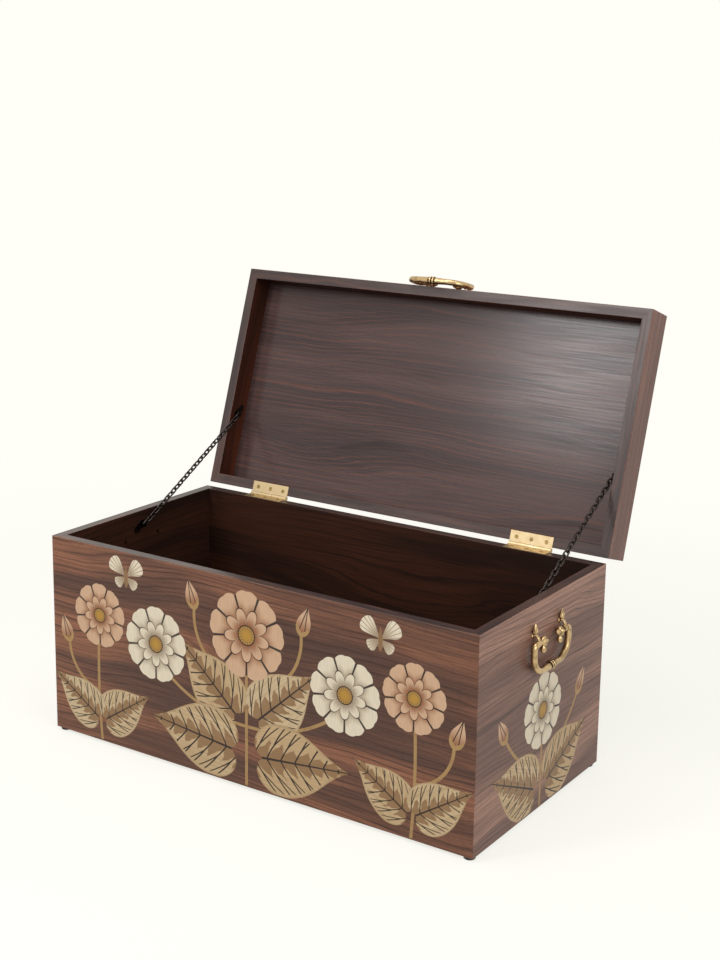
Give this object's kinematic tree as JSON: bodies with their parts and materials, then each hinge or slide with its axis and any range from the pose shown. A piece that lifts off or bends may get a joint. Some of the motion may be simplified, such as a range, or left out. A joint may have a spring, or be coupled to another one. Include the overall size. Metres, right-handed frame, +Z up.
{
  "type": "inlaid trunk",
  "caption": "Rosewood trunk with inlaid flowering plants, standing open: tray-like lid on brass butt hinges and stay chains, swinging bail handles, glides under the corners.",
  "frame": {"origin": "on the floor under the middle of the box", "axes": "+X along the trunk to the right seen from the front, -Y to the front, +Z up"},
  "size_m": [0.954, 0.672, 0.8484],
  "materials": {
    "rosewood": "satin lacquer",
    "golden_leaf_veneer": "satin lacquer",
    "ochre_stem_veneer": "satin lacquer",
    "cream_petal_veneer": "satin lacquer",
    "blush_petal_veneer": "satin lacquer",
    "polished_brass": "polished",
    "antique_brass": "aged satin",
    "black_steel": "blackened",
    "screw_steel": "plain",
    "black_glide": "moulded"
  },
  "bodies": {
    "box": {"back_left_foot": "black_glide", "back_panel": "rosewood", "back_right_foot": "black_glide", "bottom_panel": "rosewood", "chain_box_plate_screws": "black_steel", "foot_screws": "screw_steel", "front_inlay_blush_blossoms": "blush_petal_veneer", "front_inlay_butterflies": "cream_petal_veneer", "front_inlay_cream_blossoms": "cream_petal_veneer", "front_inlay_leaves": "golden_leaf_veneer", "front_inlay_stems": "ochre_stem_veneer", "front_left_foot": "black_glide", "front_panel": "rosewood", "front_right_foot": "black_glide", "hinge_box_screws": "polished_brass", "left_chain_box_plate": "black_steel", "left_end_handle_mounts": "antique_brass", "left_end_handle_screws": "screw_steel", "left_end_inlay_blossoms": "cream_petal_veneer", "left_end_inlay_leaves": "golden_leaf_veneer", "left_end_inlay_stems": "ochre_stem_veneer", "left_end_panel": "rosewood", "left_hinge_box_leaf": "polished_brass", "left_hinge_pin": "polished_brass", "right_chain_box_plate": "black_steel", "right_end_handle_mounts": "antique_brass", "right_end_handle_screws": "screw_steel", "right_end_inlay_blossoms": "cream_petal_veneer", "right_end_inlay_leaves": "golden_leaf_veneer", "right_end_inlay_stems": "ochre_stem_veneer", "right_end_panel": "rosewood", "right_hinge_box_leaf": "polished_brass", "right_hinge_pin": "polished_brass"},
    "lid": {"chain_lid_plate_screws": "black_steel", "hinge_lid_screws": "polished_brass", "left_chain_lid_plate": "black_steel", "left_hinge_lid_leaf": "polished_brass", "lid_back_rail": "rosewood", "lid_front_rail": "rosewood", "lid_handle_mounts": "antique_brass", "lid_handle_screws": "screw_steel", "lid_left_rail": "rosewood", "lid_right_rail": "rosewood", "lid_top_panel": "rosewood", "right_chain_lid_plate": "black_steel", "right_hinge_lid_leaf": "polished_brass"},
    "left_end_bail": {"left_end_handle_bail": "antique_brass", "left_end_handle_knobs": "antique_brass"},
    "right_end_bail": {"right_end_handle_bail": "antique_brass", "right_end_handle_knobs": "antique_brass"},
    "lid_bail": {"lid_handle_bail": "antique_brass", "lid_handle_knobs": "antique_brass"},
    "left_chain_lower_run": {"left_chain_lower_run": "black_steel"},
    "left_chain_bottom_turn": {"left_chain_bottom_turn": "black_steel"},
    "left_chain_upper_run": {"left_chain_upper_run": "black_steel"},
    "right_chain_lower_run": {"right_chain_lower_run": "black_steel"},
    "right_chain_bottom_turn": {"right_chain_bottom_turn": "black_steel"},
    "right_chain_upper_run": {"right_chain_upper_run": "black_steel"}
  },
  "joints": [
    {"name": "lid_hinge", "type": "hinge", "parent": "box", "child": "lid", "pos_m": [0, 0.2345, 0.386], "axis": [1, 0, 0], "range_deg": [0, 108], "deforming": ["left_chain_bottom_turn", "left_chain_lower_run", "left_chain_upper_run", "right_chain_bottom_turn", "right_chain_lower_run", "right_chain_upper_run"]},
    {"name": "left_end_handle_swing", "type": "hinge", "parent": "box", "child": "left_end_bail", "pos_m": [-0.468, 0, 0.319], "axis": [0, 1, 0], "range_deg": [-2, 95]},
    {"name": "right_end_handle_swing", "type": "hinge", "parent": "box", "child": "right_end_bail", "pos_m": [0.468, 0, 0.319], "axis": [0, -1, 0], "range_deg": [-2, 95]},
    {"name": "lid_handle_swing", "type": "hinge", "parent": "lid", "child": "lid_bail", "pos_m": [0, 0.41236, 0.8266], "axis": [-1, 0, 0], "range_deg": [0, 97]},
    {"name": "left_chain_lower_run_fold", "type": "hinge", "parent": "box", "child": "left_chain_lower_run", "pos_m": [-0.4295, 0, 0.358], "axis": [1, 0, 0], "range_deg": [-110.3, 0]},
    {"name": "left_chain_bottom_turn_fold", "type": "hinge", "parent": "left_chain_lower_run", "child": "left_chain_bottom_turn", "pos_m": [-0.4295, 0.11292, 0.42137], "axis": [1, 0, 0], "range_deg": [0, 81]},
    {"name": "left_chain_upper_run_fold", "type": "hinge", "parent": "left_chain_bottom_turn", "child": "left_chain_upper_run", "pos_m": [-0.4295, 0.14759, 0.44084], "axis": [1, 0, 0], "range_deg": [0, 84.1]},
    {"name": "right_chain_lower_run_fold", "type": "hinge", "parent": "box", "child": "right_chain_lower_run", "pos_m": [0.4295, 0, 0.358], "axis": [1, 0, 0], "range_deg": [-110.3, 0]},
    {"name": "right_chain_bottom_turn_fold", "type": "hinge", "parent": "right_chain_lower_run", "child": "right_chain_bottom_turn", "pos_m": [0.4295, 0.11292, 0.42137], "axis": [1, 0, 0], "range_deg": [0, 81]},
    {"name": "right_chain_upper_run_fold", "type": "hinge", "parent": "right_chain_bottom_turn", "child": "right_chain_upper_run", "pos_m": [0.4295, 0.14759, 0.44084], "axis": [1, 0, 0], "range_deg": [0, 84.1]}
  ],
  "couplings": [
    {"joint": "left_chain_lower_run_fold", "follows": "lid_hinge", "ratio": -1.0212},
    {"joint": "left_chain_bottom_turn_fold", "follows": "lid_hinge", "ratio": 0.74983},
    {"joint": "left_chain_upper_run_fold", "follows": "lid_hinge", "ratio": 0.77824},
    {"joint": "right_chain_lower_run_fold", "follows": "lid_hinge", "ratio": -1.0212},
    {"joint": "right_chain_bottom_turn_fold", "follows": "lid_hinge", "ratio": 0.74983},
    {"joint": "right_chain_upper_run_fold", "follows": "lid_hinge", "ratio": 0.77824}
  ]
}
